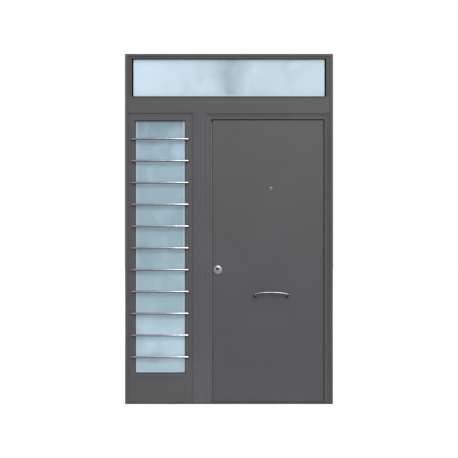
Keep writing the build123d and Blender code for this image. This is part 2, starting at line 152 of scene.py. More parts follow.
class Recipe:
    """One material's node tree."""

    def __init__(self, name: str) -> None:
        """Starts an empty material that reads Object coordinates.

        Args:
            name: The material's name.
        """
        self.material = bpy.data.materials.new(name)
        self.material.use_nodes = True
        self.tree = self.material.node_tree
        self.tree.nodes.clear()
        self.place = self.node("ShaderNodeTexCoord", {}, {}, output="Object")

    def node(self, kind: str, settings: dict[str, Any], values: dict[Any, Any],
             output: Union[int, str] = 0) -> Signal:
        """Adds a node, sets it up, then feeds its sockets.

        Args:
            kind: The node's type.
            settings: The node's own settings, set first. A ramp's stops go under "stops".
            values: What each input socket gets, a signal or a value, by name or number.
            output: The output that is given back.

        Returns:
            The chosen output.
        """
        node = self.tree.nodes.new(kind)
        for key, value in settings.items():
            if key == "stops":
                self._stops(node.color_ramp, value)
            else:
                setattr(node, key, value)
        for key, value in values.items():
            if isinstance(value, Signal):
                self.tree.links.new(value.socket, node.inputs[key])
            else:
                node.inputs[key].default_value = value
        return Signal(self, node.outputs[output])

    @staticmethod
    def _stops(ramp: bpy.types.ColorRamp, stops: Sequence[tuple[float, Colour]]) -> None:
        """Puts a ramp's stops in place.

        Args:
            ramp: The colour ramp.
            stops: Pairs of a place from 0 to 1 and a linear colour.
        """
        ramp.interpolation = "EASE"
        ramp.elements[0].position, ramp.elements[1].position = stops[0][0], stops[-1][0]
        for place, _ in stops[1:-1]:
            ramp.elements.new(place)
        for element, (_, colour) in zip(ramp.elements, stops):
            element.color = (*colour, 1.0)

    def part(self, axis: Axis) -> Signal:
        """One of the three Object coordinates, in metres."""
        return self.node("ShaderNodeSeparateXYZ", {}, {0: self.place}, output=axis.value)

    def upward(self) -> Signal:
        """How far the surface faces up, from -1 to 1, as its mesh holds it."""
        settings = {"attribute_type": "GEOMETRY", "attribute_name": "upward"}
        return self.node("ShaderNodeAttribute", settings, {}, output="Fac")

    def noise(self, scale: float, detail: float = 3.0, stretch: Colour = (1, 1, 1),
              shift: Colour = (0, 0, 0)) -> Signal:
        """A noise field round 0.5.

        Args:
            scale: Waves a metre.
            detail: How many finer layers.
            stretch: The pattern's scale along each axis.
            shift: Where the pattern starts.

        Returns:
            The noise value.
        """
        mapped = self.node("ShaderNodeMapping", {"vector_type": "POINT"},
                           {"Vector": self.place, "Location": shift, "Scale": stretch})
        return self.node("ShaderNodeTexNoise", {"noise_dimensions": "3D"},
                         {"Vector": mapped, "Scale": scale, "Detail": detail, "Roughness": 0.55})

    def ramp(self, factor: Signal, stops: Sequence[tuple[float, Colour]]) -> Signal:
        """A colour ramp over a factor from 0 to 1."""
        return self.node("ShaderNodeValToRGB", {"stops": stops}, {"Fac": factor})

    def blend(self, factor: Signal, first: Any, second: Any) -> Signal:
        """Mixes two colours.

        Args:
            factor: How much of the second.
            first: A linear colour or a signal.
            second: A linear colour or a signal.

        Returns:
            The mixed colour.
        """
        def ready(colour: Any) -> Any:
            """A colour with its fourth number, or the signal itself."""
            return colour if isinstance(colour, Signal) else (*colour, 1.0)

        settings = {"data_type": "RGBA", "blend_type": "MIX", "clamp_factor": True}
        return self.node("ShaderNodeMix", settings,
                         {0: factor, 6: ready(first), 7: ready(second)}, output=2)

    def bump(self, height: Signal, distance: float, strength: float) -> Signal:
        """The normal of a height, where a height of 1 means distance metres."""
        return self.node("ShaderNodeBump", {},
                         {"Height": height, "Distance": distance, "Strength": strength})

    def finish(self, **sockets: Any) -> bpy.types.Material:
        """Ends the tree in one Principled shader.

        Args:
            **sockets: The shader's sockets, with _ for a space.

        Returns:
            The finished material.
        """
        values = {key.replace("_", " "): value for key, value in sockets.items()}
        shader = self.node("ShaderNodeBsdfPrincipled", {}, values)
        output = self.tree.nodes.new("ShaderNodeOutputMaterial")
        self.tree.links.new(shader.socket, output.inputs["Surface"])
        return self.material


# Finishes. Noise scales are waves a metre, and shifts only keep the patterns apart.

@dataclass(frozen=True)
class PowderCoat:
    """Satin powder coat over steel, with a fine orange peel, faint handling marks, and painted
    light that lightens it towards its foot.
    """

    name: str
    colour: Colour
    painted_light_foot: Optional[Colour] = None
    roughness: float = 0.46
    inner: Optional[Colour] = None
    inner_from: float = -0.033
    fade: tuple[float, float] = (2.2, 0.1)
    dust: Colour = srgb(138, 134, 128)
    dust_top: float = 0.16

    def make(self) -> bpy.types.Material:
        """Builds the coat: painted light towards the foot, slow cloudy tone, fine speckle, peel,
        rubbed patches, dust below.
        """
        recipe = Recipe(self.name)
        height = recipe.part(Axis.Z)
        tone = recipe.noise(2.2, 3.0, shift=(3.1, 0.4, 1.7))
        speckle = recipe.noise(420.0, 2.0)
        peel = recipe.noise(260.0, 2.0, shift=(1.3, 2.2, 0.9))
        waves = recipe.noise(38.0, 2.0, shift=(5.0, 1.0, 2.0))
        # painted light: the coat turns to its lighter foot colour across the fade heights, down to
        # the floor
        colour = recipe.blend(height.step(*self.fade), self.colour,
                              self.painted_light_foot or self.colour)
        # past inner_from along Y the coat takes the inner colour; on the leaf's edge and on the
        # sill one of the two colours is painted light in the gaps
        if self.inner is not None:
            inside = recipe.part(Axis.Y).step(self.inner_from, self.inner_from + SHARP)
            colour = recipe.blend(inside, colour, self.inner)
        darker = tuple(value * 0.86 for value in self.colour)
        lighter = tuple(value * 1.12 for value in self.colour)
        colour = recipe.blend(tone.step(0.62, 0.38) * 0.35, colour, darker)
        colour = recipe.blend(speckle.step(0.55, 0.75) * 0.35, colour, lighter)
        rubbed = recipe.noise(9.0, 4.0, shift=(0.7, 4.0, 0.2)).step(0.5, 0.68)
        dusty = height.step(self.dust_top, 0.0) * recipe.noise(24.0, 4.0).step(0.35, 0.7)
        colour = recipe.blend(dusty * 0.06, colour, self.dust)
        rough = self.roughness + (tone - 0.5) * 0.08 - rubbed * 0.05 + dusty * 0.2
        relief = peel * 0.6 + waves * 0.9
        return recipe.finish(Base_Color=colour, Roughness=rough.clipped(),
                             Normal=recipe.bump(relief, 0.00012, 0.5),
                             Metallic=0.0, IOR=1.48)


@dataclass(frozen=True)
class BrushedSteel:
    """Steel brushed along one axis, with painted shade on the faces turned down."""

    name: str
    colour: Colour
    along: Axis
    roughness: float
    marks: float = 0.5
    drawn_out: float = 0.03
    painted_shade_below: Optional[Colour] = None
    turned_down: tuple[float, float] = (-0.1, -0.7)

    def make(self) -> bpy.types.Material:
        """Builds the metal: long fine streaks along the brushing, faint smudges, painted shade
        below.
        """
        recipe = Recipe(self.name)
        stretch = [1.0, 1.0, 1.0]
        stretch[self.along.value] = self.drawn_out
        streaks = recipe.noise(900.0, 2.0, stretch=tuple(stretch))
        smudges = recipe.noise(26.0, 3.0, shift=(2.0, 0.0, 1.0)).step(0.45, 0.75)
        darker = tuple(value * 0.78 for value in self.colour)
        colour = recipe.blend(streaks.step(0.35, 0.65) * 0.5, self.colour, darker)
        colour = recipe.blend(smudges * 0.25 * self.marks, colour, darker)
        # painted shade and painted reflection: faces turned down take the darker colour, as if
        # shadowed and mirroring a dark ground
        if self.painted_shade_below is not None:
            colour = recipe.blend(recipe.upward().step(*self.turned_down), colour, self.painted_shade_below)
        rough = self.roughness + (streaks - 0.5) * 0.16 + smudges * 0.08 * self.marks
        return recipe.finish(Base_Color=colour, Metallic=1.0, Roughness=rough.clipped(),
                             Normal=recipe.bump(streaks, 0.00004, 0.5))


@dataclass(frozen=True)
class PolishedSteel:
    """Polished metal with a few wiping marks, and painted shade on the faces turned down."""

    name: str
    colour: Colour
    painted_shade_below: Colour
    roughness: float
    turned_down: tuple[float, float] = (0.45, 0.0)

    def make(self) -> bpy.types.Material:
        """Builds the metal: a soft mirror, cloudy wiping marks in its roughness, painted shade
        below.
        """
        recipe = Recipe(self.name)
        wiped = recipe.noise(60.0, 4.0, stretch=(1.0, 1.0, 2.5)).step(0.4, 0.75)
        fine = recipe.noise(700.0, 2.0, stretch=(0.1, 1.0, 1.0))
        darker = tuple(value * 0.88 for value in self.colour)
        colour = recipe.blend(wiped * 0.4, self.colour, darker)
        # painted shade and painted reflection: faces turned down take the darker colour, as if
        # shadowed and mirroring a dark ground
        colour = recipe.blend(recipe.upward().step(*self.turned_down), colour, self.painted_shade_below)
        rough = self.roughness + wiped * 0.07 + (fine - 0.5) * 0.04
        return recipe.finish(Base_Color=colour, Metallic=1.0, Roughness=rough.clipped(),
                             Normal=recipe.bump(fine, 0.00002, 0.3))


@dataclass(frozen=True)
class Rubber:
    """Extruded rubber, slightly dusty."""

    name: str
    colour: Colour
    dust: Colour
    pale: Optional[Colour] = None
    pale_from: tuple[float, float] = (0.0, 0.0)
    gloss: float = 1.5

    def make(self) -> bpy.types.Material:
        """Builds the rubber: matt with a fine grain, a pale bloom, and painted light on its far
        side.
        """
        recipe = Recipe(self.name)
        grain = recipe.noise(520.0, 2.0)
        bloom = recipe.noise(34.0, 4.0, shift=(1.0, 1.0, 0.0)).step(0.45, 0.75)
        colour = recipe.blend(bloom * 0.5, self.colour, self.dust)
        # painted light: past pale_from in X and in Z the rubber turns to the pale colour
        if self.pale is not None:
            x, z = self.pale_from
            far = recipe.part(Axis.X).step(x, x + SHARP) * recipe.part(Axis.Z).step(z, z + SHARP)
            colour = recipe.blend(far, colour, self.pale)
        rough = 0.62 + bloom * 0.2
        return recipe.finish(Base_Color=colour, Roughness=rough.clipped(), IOR=self.gloss,
                             Normal=recipe.bump(grain, 0.0001, 0.5))


@dataclass(frozen=True)
class PaleGlass:
    """Pale glass that hides what is behind it; its tone drifts along one axis, and its tones are
    painted reflections of sky and cloud over its own pale tint, with a painted highlight and
    painted light along its rims.
    """

    name: str
    along: Axis
    low: float
    high: float
    stops: tuple[tuple[float, Colour], ...]
    cloud: Colour
    bright: Colour
    rim: Colour
    sides: tuple[float, float]
    bottom: float
    rim_width: float = 0.013
    highlight_at: tuple[float, float] = (0.0, 0.0)
    highlight_size: tuple[float, float] = (0.001, 0.001)

    def make(self) -> bpy.types.Material:
        """Builds the pane: drift and soft clouds of painted reflection, painted bright patches, one
        painted highlight, painted light along the rims, a ripple.
        """
        recipe = Recipe(self.name)
        place = recipe.part(self.along)
        across = recipe.part(Axis.X)
        height = recipe.part(Axis.Z)
        share = (place - self.low) * (1 / (self.high - self.low))
        # painted reflection: the drift, the clouds and the bright patches stand for sky and cloud
        # mirrored in the glass, over its own pale tint
        drift = recipe.noise(3.4, 3.0, shift=(0.3, 0.0, 0.8))
        colour = recipe.ramp((share + (drift - 0.5) * 0.22).clipped(), self.stops)
        clouds = recipe.noise(4.2, 2.5, stretch=(1.0, 1.0, 0.8), shift=(1.9, 0.0, 4.4))
        colour = recipe.blend(clouds.step(0.45, 0.7) * 0.5, colour, self.cloud)
        patches = recipe.noise(5.5, 2.5, stretch=(1.2, 1.0, 0.8), shift=(7.2, 0.0, 0.4))
        colour = recipe.blend(patches.step(0.48, 0.74) * 0.5, colour, self.bright)
        # painted highlight: a soft bright spot round its given place
        out = (across - self.highlight_at[0]) * (1 / self.highlight_size[0])
        rise = (height - self.highlight_at[1]) * (1 / self.highlight_size[1])
        colour = recipe.blend((out * out + rise * rise).step(1.0, 0.1) * 0.8, colour, self.bright)
        # painted light: pale strips along the sides and the bottom
        left, right = self.sides
        near, far = self.rim_width * 0.6, self.rim_width * 1.3
        strips = (across.step(left + far, left + near) + across.step(right - far, right - near)
                  + height.step(self.bottom + far, self.bottom + near)).clipped()
        colour = recipe.blend(strips * 0.6, colour, self.rim)
        ripple = recipe.noise(85.0, 2.0) + recipe.noise(210.0, 2.0) * 0.4
        rough = 0.13 + (clouds - 0.5) * 0.1
        return recipe.finish(Base_Color=colour, Roughness=rough.clipped(),
                             Normal=recipe.bump(ripple, 0.0006, 0.35), IOR=1.5)


@dataclass(frozen=True)
class LensGlass:
    """The pale little lens of the peephole."""

    name: str

    def make(self) -> bpy.types.Material:
        """Builds the lens: pale grey, clouded, with a faint film."""
        recipe = Recipe(self.name)
        film = recipe.noise(300.0, 2.0)
        rough = 0.3 + film * 0.1
        colour = recipe.blend(film * 0.5, (0.15, 0.15, 0.155), (0.2, 0.2, 0.205))
        return recipe.finish(Base_Color=colour, Roughness=rough, IOR=1.45)


# Surfaces worked out with numpy

@dataclass
class Shell:
    """Gathers grids of points, in millimetres, into one closed mesh."""

    corners: list[Points] = field(default_factory=list)
    faces: list[Points] = field(default_factory=list)
    count: int = 0

    def grid(self, points: Points, close_u: bool = False, close_v: bool = True) -> "Shell":
        """Adds a grid: each face joins (i, j), (i+1, j), (i+1, j+1) and (i, j+1).

        Args:
            points: The grid's points, of shape (rows, columns, 3).
            close_u: Whether the last row joins the first.
            close_v: Whether the last column joins the first.

        Returns:
            The shell itself.
        """
        rows, columns = points.shape[:2]
        row = np.arange(rows if close_u else rows - 1)
        column = np.arange(columns if close_v else columns - 1)
        here, along = np.meshgrid(row, column, indexing="ij")
        below, beside = (here + 1) % rows, (along + 1) % columns
        quads = np.stack([here * columns + along, below * columns + along,
                          below * columns + beside, here * columns + beside], axis=-1)
        self.corners.append(points.reshape(-1, 3))
        self.faces.append(quads.reshape(-1, 4) + self.count)
        self.count += rows * columns
        return self

    def piece(self, name: str, crease: float = 38.0) -> bpy.types.Object:
        """Makes the mesh object, with its doubles merged and its faces outwards.

        Args:
            name: The piece's name.
            crease: Edges sharper than this many degrees stay sharp.

        Returns:
            The new object, at the origin.
        """
        corners = np.concatenate(self.corners) * MM
        faces = np.concatenate(self.faces)
        mesh = bpy.data.meshes.new(name)
        mesh.vertices.add(len(corners))
        mesh.vertices.foreach_set("co", corners.astype(np.float32).ravel())
        mesh.loops.add(faces.size)
        mesh.loops.foreach_set("vertex_index", faces.astype(np.int32).ravel())
        mesh.polygons.add(len(faces))
        mesh.polygons.foreach_set("loop_start", np.arange(0, faces.size, 4, dtype=np.int32))
        mesh.update(calc_edges=True)
        piece = bpy.data.objects.new(name, mesh)
        bpy.context.scene.collection.objects.link(piece)
        tidy_mesh(mesh, crease)
        # each corner keeps how far it faces up; the metals read it to paint shade on the undersides
        # of the bars and the handle
        normals = np.empty(len(mesh.vertices) * 3, dtype=np.float32)
        mesh.vertex_normals.foreach_get("vector", normals)
        upward = mesh.attributes.new("upward", "FLOAT", "POINT")
        upward.data.foreach_set("value", normals[2::3].copy())
        return piece


def tidy_mesh(mesh: bpy.types.Mesh, crease: float, flatten: bool = False) -> None:
    """Merges doubled corners, turns the faces outwards and smooths what isn't a crease.

    Args:
        mesh: The mesh.
        crease: Edges sharper than this many degrees stay sharp.
        flatten: Whether flat faces made of triangles become one face.
    """
    work = bmesh.new()
    work.from_mesh(mesh)
    bmesh.ops.remove_doubles(work, verts=work.verts, dist=2e-6)
    bmesh.ops.dissolve_degenerate(work, edges=work.edges, dist=1e-7)
    if flatten:
        bmesh.ops.dissolve_limit(work, angle_limit=math.radians(0.6), verts=work.verts,
                                 edges=work.edges)
    bmesh.ops.recalc_face_normals(work, faces=work.faces)
    work.to_mesh(mesh)
    work.free()
    mesh.shade_smooth()
    mesh.set_sharp_from_angle(angle=math.radians(crease))


def unit(vector: Points) -> Points:
    """Vectors of length 1 along the last axis."""
    return vector / np.linalg.norm(vector, axis=-1, keepdims=True)


def turned(profile: Sequence[tuple[float, float]], centre: Sequence[float],
           axis: Sequence[float], steps: int = 48) -> Points:
    """A turned surface: centre + height * axis + radius * (cos t * side + sin t * up).

    Args:
        profile: Pairs of radius and height along the axis.
        centre: The point at height 0.
        axis: The direction in which heights grow.
        steps: How many points go round.

    Returns:
        The grid, of shape (profile, steps, 3).
    """
    outline = np.asarray(profile, float)
    direction = unit(np.asarray(axis, float))
    helper = np.array([0.0, 0.0, 1.0]) if abs(direction[2]) < 0.9 else np.array([1.0, 0.0, 0.0])
    side = unit(np.cross(direction, helper))
    up = np.cross(direction, side)
    turn = np.linspace(0, 2 * np.pi, steps, endpoint=False)
    round_about = np.cos(turn)[:, None] * side + np.sin(turn)[:, None] * up
    return (np.asarray(centre, float) + outline[:, 1, None, None] * direction
            + outline[:, 0, None, None] * round_about[None])


def swept(path: Points, radii: Points, side: Sequence[float], steps: int) -> Points:
    """A round section carried along a path: point + radius * (cos t * side + sin t * up).

    The up vector is square to the path's heading and to side.

    Args:
        path: The path's points, of shape (n, 3).
        radii: The section's radius at each point.
        side: A direction that is never along the path.
        steps: How many points go round the section.

    Returns:
        The grid, of shape (n, steps, 3).
    """
    heading = unit(np.gradient(path, axis=0))
    across = np.asarray(side, float) - (heading @ np.asarray(side, float))[:, None] * heading
    across = unit(across)
    up = np.cross(heading, across)
    turn = np.linspace(0, 2 * np.pi, steps, endpoint=False)
    section = (np.cos(turn)[None, :, None] * across[:, None]
               + np.sin(turn)[None, :, None] * up[:, None])
    return path[:, None] + np.asarray(radii, float)[:, None, None] * section


def domed(path: Points, radius: float, steps: int = 7) -> tuple[Points, Points]:
    """Adds round ends to a path: stations at reach * (1 - cos a), sections of radius * sin a.

    The reach, DOME * radius, is how far an end goes beyond the path.

    Args:
        path: The path's points.
        radius: The section's radius.
        steps: How many stations each end gets.

    Returns:
        The longer path and its radii.
    """
    lean = np.linspace(0.02, np.pi / 2, steps)
    reach = radius * DOME
    start, end = unit(path[1] - path[0]), unit(path[-1] - path[-2])
    back = path[0] + start * reach * (1 - np.cos(lean))[:, None] - start * reach
    front = path[-1] - end * reach * (1 - np.cos(lean))[::-1, None] + end * reach
    radii = np.concatenate([radius * np.sin(lean), np.full(len(path) - 2, radius),
                            radius * np.sin(lean)[::-1]])
    return np.concatenate([back, path[1:-1], front]), radii


def rounded_route(corners: Sequence[Sequence[float]], bends: Sequence[float],
                  steps: int = 10) -> Points:
    """A route with its inner corners rounded by quadratic curves.

    Near a corner c with neighbours at distance b along both runs, the curve is
    (1-t)^2 * before + 2t(1-t) * c + t^2 * after.

    Args:
        corners: The route's corners.
        bends: How far from each inner corner the curve starts.
        steps: Points on each curve.

    Returns:
        The route's points.
    """
    places = np.asarray(corners, float)
    share = np.linspace(0, 1, steps)[:, None]
    runs = [places[:1]]
    for before, corner, after, bend in zip(places, places[1:], places[2:], bends):
        start = corner + unit(before - corner) * bend
        end = corner + unit(after - corner) * bend
        runs.append((1 - share) ** 2 * start + 2 * share * (1 - share) * corner + share ** 2 * end)
    runs.append(places[-1:])
    return np.concatenate(runs)


def plate(width: float, height: float, corner: float, profile: Sequence[tuple[float, float]],
          centre: Sequence[float], steps: int = 8, facing: float = 1.0) -> Points:
    """A plate in the plane of the door with rounded corners and edges.

    Each ring is the rounded rectangle set in by the profile's first number, at the depth of its
    second: corner centre + (corner radius - inset) * (cos t, sin t).

    Args:
        width: Along X.
        height: Along Z.
        corner: The corner radius.
        profile: Pairs of inset and height above the base.
        centre: The middle of the base.
        steps: Points on each corner.
        facing: 1 when heights grow into the building, -1 when they grow outwards.

    Returns:
        The grid, of shape (profile + 2, 4 * steps, 3), closed by a point at each end.
    """
    outline = np.asarray(profile, float)
    turn = np.linspace(0, np.pi / 2, steps)
    angles = (turn[None] + np.arange(4)[:, None] * np.pi / 2).ravel()
    right = np.repeat([1, -1, -1, 1], steps) * (width / 2 - corner)
    top = np.repeat([1, 1, -1, -1], steps) * (height / 2 - corner)
    radius = np.maximum(corner - outline[:, 0], 0.01)[:, None]
    shift = np.maximum(outline[:, 0] - corner, 0)[:, None]
    x = right - np.sign(right) * shift + radius * np.cos(angles)
    z = top - np.sign(top) * shift + radius * np.sin(angles)
    rings = np.stack([x, facing * outline[:, 1, None] + 0 * x, z], axis=-1)
    middle = np.zeros_like(rings[:1])
    first, last = middle.copy(), middle.copy()
    first[..., 1] = facing * outline[0, 1]
    last[..., 1] = facing * outline[-1, 1]
    return np.concatenate([first, rings, last]) + np.asarray(centre, float)


def softened(node: str, name: str, edge: float, segments: int = 2, crease: float = 30.0,
             shape: Optional[Callable[[Points], Points]] = None) -> bpy.types.Object:
    """A copy of a CAD node with its edges rounded.

    Args:
        node: The CAD node.
        name: The new piece's name.
        edge: The rounding's width, in millimetres.
        segments: Faces across the rounding.
        crease: Edges under this many degrees stay as they are.
        shape: Gives the corners, in millimetres, their finer places.

    Returns:
        The new object, at the origin.
    """
    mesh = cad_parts[node].data.copy()
    mesh.name = name
    mesh.materials.clear()
    if shape is not None:
        corners = np.empty(len(mesh.vertices) * 3)
        mesh.vertices.foreach_get("co", corners)
        mesh.vertices.foreach_set("co", (shape(corners.reshape(-1, 3) / MM) * MM).ravel())
    tidy_mesh(mesh, crease, flatten=True)
    piece = bpy.data.objects.new(name, mesh)
    bpy.context.scene.collection.objects.link(piece)
    bevel = piece.modifiers.new("rounded_edges", "BEVEL")
    bevel.width = edge * MM
    bevel.segments = segments
    bevel.limit_method = "ANGLE"
    bevel.angle_limit = math.radians(crease)
    bevel.harden_normals = True
    bevel.miter_outer = "MITER_ARC"
    return piece


def settle(piece: bpy.types.Object, body: Body, material: bpy.types.Material,
           instead_of: Iterable[str] = ()) -> None:
    """Dresses a piece and puts it on its body.

    Args:
        piece: The piece.
        body: The body it moves with.
        material: Its finish.
        instead_of: The CAD nodes that it stands for.
    """
    piece.data.materials.clear()
    piece.data.materials.append(material)
    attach(piece, body.value)
    for node in instead_of:
        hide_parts(node)
    log.info("%s rides on %s", piece.name, body.value)


@dataclass
class Screws:
    """Pan-head screws with a round drive, all alike."""

    radius: float = 3.2
    height: float = 1.3

    def grids(self, centres: Sequence[Sequence[float]], axis: Sequence[float]) -> Shell:
        """One turned head at each place, with a drive sunk in its middle.

        Args:
            centres: Where the heads sit.
            axis: The direction in which they stand out.

        Returns:
            The shell that holds them.
        """
        radius, height = self.radius, self.height
        profile = [(0, height * 0.25), (radius * 0.34, height * 0.25), (radius * 0.4, height * 0.9),
                   (radius * 0.62, height), (radius * 0.86, height * 0.72), (radius, height * 0.2),
                   (radius, -0.4), (0, -0.4)]
        shell = Shell()
        for centre in centres:
            shell.grid(turned(profile, centre, axis, steps=18))
        return shell


# Sub-assemblies. Their sizes and places are in millimetres.

def drawn(corners: Points, axis: Axis, solid: Sequence[float],
          folded: Sequence[float]) -> Points:
    """Moves corners along one axis, in proportion between the places given.

    Args:
        corners: The corners.
        axis: The axis.
        solid: Rising places in the solids.
        folded: Where these places go.

    Returns:
        The moved corners.
    """
    moved = corners.copy()
    moved[:, axis.value] = np.interp(corners[:, axis.value], solid, folded)
    return moved


@dataclass(frozen=True)
class FoldedSteel:
    """How the folded sheet of the frame and leaf bends, finer than the solids show it.

    Edges beside the mullion and under the rail are tightened, the moulding's front gets the
    depths given across it, and each pair of rows says where places in the solids go.
    """

    near: float = 0.05
    face_y: float = -35.0
    rail_bottom: float = 2076.0
    mullion_left: float = -260.5
    mullion_right: float = -168.5
    door_right: float = 722.5
    round_edge: float = 6.0
    tight_edge: float = 2.2
    front_depth: float = 14.1
    across: tuple[float, ...] = (0.0, 5.0, 27.0, 32.0, 37.0, 42.0)
    depths: tuple[float, ...] = (2.2, 3.4, 7.0, 6.5, 6.4, 8.8)
    side_solid: tuple[float, ...] = (-28.0, -22.0, -21.9, 100.0)
    side_folded: tuple[float, ...] = (-30.5, -28.5, -21.9, 100.0)
    sill_solid: tuple[float, ...] = (-30.0, -26.0, 100.0)
    sill_folded: tuple[float, ...] = (-39.0, -36.0, 100.0)
    leaf_heights: tuple[float, ...] = (14.0, 40.0, 2000.0, 2026.0)
    leaf_reaches: tuple[float, ...] = (11.0, 40.0, 2000.0, 2028.0)
    leaf_places: tuple[float, ...] = (-200.0, 600.0, 674.5)
    leaf_sides: tuple[float, ...] = (-200.0, 600.0, 676.0)
    foot_front: float = -31.5
    foot_forward: float = 2.4

    def tighten(self, corners: Points) -> Points:
        """Tightens the round edges next to the mullion and under the rail.

        Where a corner lies within round_edge of such an edge, its distance from the edge is
        multiplied by tight_edge / round_edge.

        Args:
            corners: The corners.

        Returns:
            The moved corners.
        """
        moved = corners.copy()
        share = self.tight_edge / self.round_edge
        reach = self.round_edge + self.near
        x, y, z = corners.T
        edge = y < self.face_y + reach
        bent = edge & (y > self.face_y + 0.2 * self.near)
        for place in (self.mullion_left, self.mullion_right):
            beside = edge & (np.abs(x - place) < reach)
            moved[beside, 0] = place + (x[beside] - place) * share
        under = edge & (np.abs(z - self.rail_bottom) < reach)
        moved[under, 2] = self.rail_bottom + (z[under] - self.rail_bottom) * share
        moved[bent, 1] = self.face_y + (y[bent] - self.face_y) * share
        return moved

    def slope(self, distance: Callable[[Points], Points]) -> Callable[[Points], Points]:
        """Gives the moulding's front its slanting face, by its distance from the outer edge.

        Args:
            distance: Works out each corner's distance from the moulding's outer edge.

        Returns:
            The function that moves the corners.
        """
        def bend(corners: Points) -> Points:
            """Puts each front corner at the depth that the profile gives it.

            Args:
                corners: The corners.

            Returns:
                The moved corners.
            """
            moved = corners.copy()
            front = corners[:, 1] < self.face_y + self.front_depth
            depth = np.interp(distance(corners[front]), self.across, self.depths)
            moved[front, 1] = self.face_y + depth
            return moved

        return bend

    def forward(self, corners: Points) -> Points:
        """Brings the side light's front faces nearer to the rail's face."""
        return drawn(corners, Axis.Y, self.side_solid, self.side_folded)

    def nosed(self, corners: Points) -> Points:
        """Brings the sill's front edge out to the frame's front."""
        return drawn(corners, Axis.Y, self.sill_solid, self.sill_folded)

    def spread(self, corners: Points) -> Points:
        """Draws the leaf's outer sheet a little over its foot, head and hinge side."""
        wider = drawn(corners, Axis.X, self.leaf_places, self.leaf_sides)
        return drawn(wider, Axis.Z, self.leaf_heights, self.leaf_reaches)

    def lowered(self, corners: Points) -> Points:
        """Draws the leaf's core down to the foot of its outer sheet.

        Args:
            corners: The corners.

        Returns:
            The moved corners.
        """
        moved = corners.copy()
        moved[corners[:, 2] < self.leaf_heights[0] + self.near, 2] = self.leaf_reaches[0]
        return moved

    def feet_forward(self, corners: Points) -> Points:
        """Brings the spacers' feet along with the side light's moulding.

        Args:
            corners: The corners.

        Returns:
            The moved corners.
        """
        moved = corners.copy()
        moved[corners[:, 1] > self.foot_front, 1] -= self.foot_forward
        return moved

    def left(self, corners: Points) -> Points:
        """Distance from the lock side's outer edge."""
        return corners[:, 0] - self.mullion_right

    def right(self, corners: Points) -> Points:
        """Distance from the hinge side's outer edge."""
        return self.door_right - corners[:, 0]

    def above(self, corners: Points) -> Points:
        """Distance from the head's outer edge."""
        return self.rail_bottom - corners[:, 2]


FOLDS = FoldedSteel()


@dataclass
class PaintedFrame:
    """The members that don't move: jambs, head, rail, mullion, door frame, sill and seals."""

    paint: bpy.types.Material
    shaded_paint: bpy.types.Material
    head_shade_paint: bpy.types.Material
    mullion_paint: bpy.types.Material
    sill: bpy.types.Material
    rubber: bpy.types.Material
    satin: bpy.types.Material
    lip_rubber: bpy.types.Material
    member_edge: float = 1.2
    moulding_edge: float = 0.7
    sill_edge: float = 0.8
    seal_edge: float = 1.6
    strike_edge: float = 0.4
    lip_length: float = 1386.0
    lip_width: float = 6.0
    lip_corner: float = 0.6
    lip_z: float = 2187.0

    def build(self) -> None:
        """Rounds the edges of each member and dresses it."""
        members = {"left_jamb": self.paint, "right_jamb": self.shaded_paint,
                   "transom_left_post": self.head_shade_paint, "transom_right_post": self.head_shade_paint,
                   "head_rail": self.head_shade_paint, "transom_rail": self.paint,
                   "mullion": self.mullion_paint}
        for node, finish in members.items():
            shape = FOLDS.tighten if node in ("transom_rail", "mullion") else None
            settle(softened(node, f"painted_{node}", self.member_edge, shape=shape), Body.FRAME,
                   finish, [node])
        mouldings = {"door_frame_lock_side": (self.mullion_paint, FOLDS.left),
                     "door_frame_hinge_side": (self.shaded_paint, FOLDS.right),
                     "door_frame_head": (self.paint, FOLDS.above)}
        for node, (finish, distance) in mouldings.items():
            settle(softened(node, f"painted_{node}", self.moulding_edge,
                            shape=FOLDS.slope(distance)), Body.FRAME, finish, [node])
        settle(softened("threshold", "sill_strip", self.sill_edge, shape=FOLDS.nosed),
               Body.FRAME, self.sill, ["threshold"])
        profile = [(0, 0), (0, 0.3), (0.4, 0.7)]
        lip = plate(self.lip_length, self.lip_width, self.lip_corner, profile,
                    (0, FOLDS.face_y, self.lip_z), steps=4, facing=-1)
        settle(Shell().grid(lip).piece("transom_lower_lip"), Body.FRAME,
               self.lip_rubber)
        settle(softened("door_frame_seal", "leaf_seal", self.seal_edge, 3), Body.FRAME,
               self.rubber, ["door_frame_seal"])
        settle(softened("strike_plate", "strike", self.strike_edge), Body.FRAME,
               self.satin, ["strike_plate"])


@dataclass
class GlazedLight:
    """A fixed pane with its gasket and inner beads."""

    light: str
    glass: bpy.types.Material
    paint: bpy.types.Material
    rubber: bpy.types.Material
    pane_edge: float = 0.8
    gasket_edge: float = 1.2
    bead_edge: float = 1.5

    def build(self) -> None:
        """Rounds the edges of the pane, the gasket and the beads, and dresses them."""
        rows = (("glass", "pane", self.pane_edge, 2, Slot.GLASS, self.glass),
                ("gasket", "rubber", self.gasket_edge, 3, Slot.RUBBER, self.rubber),
                ("inner_beads", "beads", self.bead_edge, 3, Slot.PAINT, self.paint))
        for part, name, edge, segments, slot, finish in rows:
            node = f"{self.light}_{part}"
            settle(softened(node, f"{self.light}_{name}", edge, segments), Body.FRAME,
                   finish, [node])


@dataclass
class SideLightFrame:
    """The painted surround of the side light, with the raised moulding round its glass."""

    paint: bpy.types.Material
    edge: float = 0.9

    def build(self) -> None:
        """Rounds the edges of the surround's members and dresses them."""
        for node in ("side_light_left_stile", "side_light_right_stile", "side_light_top_rail",
                     "side_light_lower_panel", "side_light_moulding"):
            settle(softened(node, f"painted_{node}", self.edge, shape=FOLDS.forward),
                   Body.FRAME, self.paint, [node])


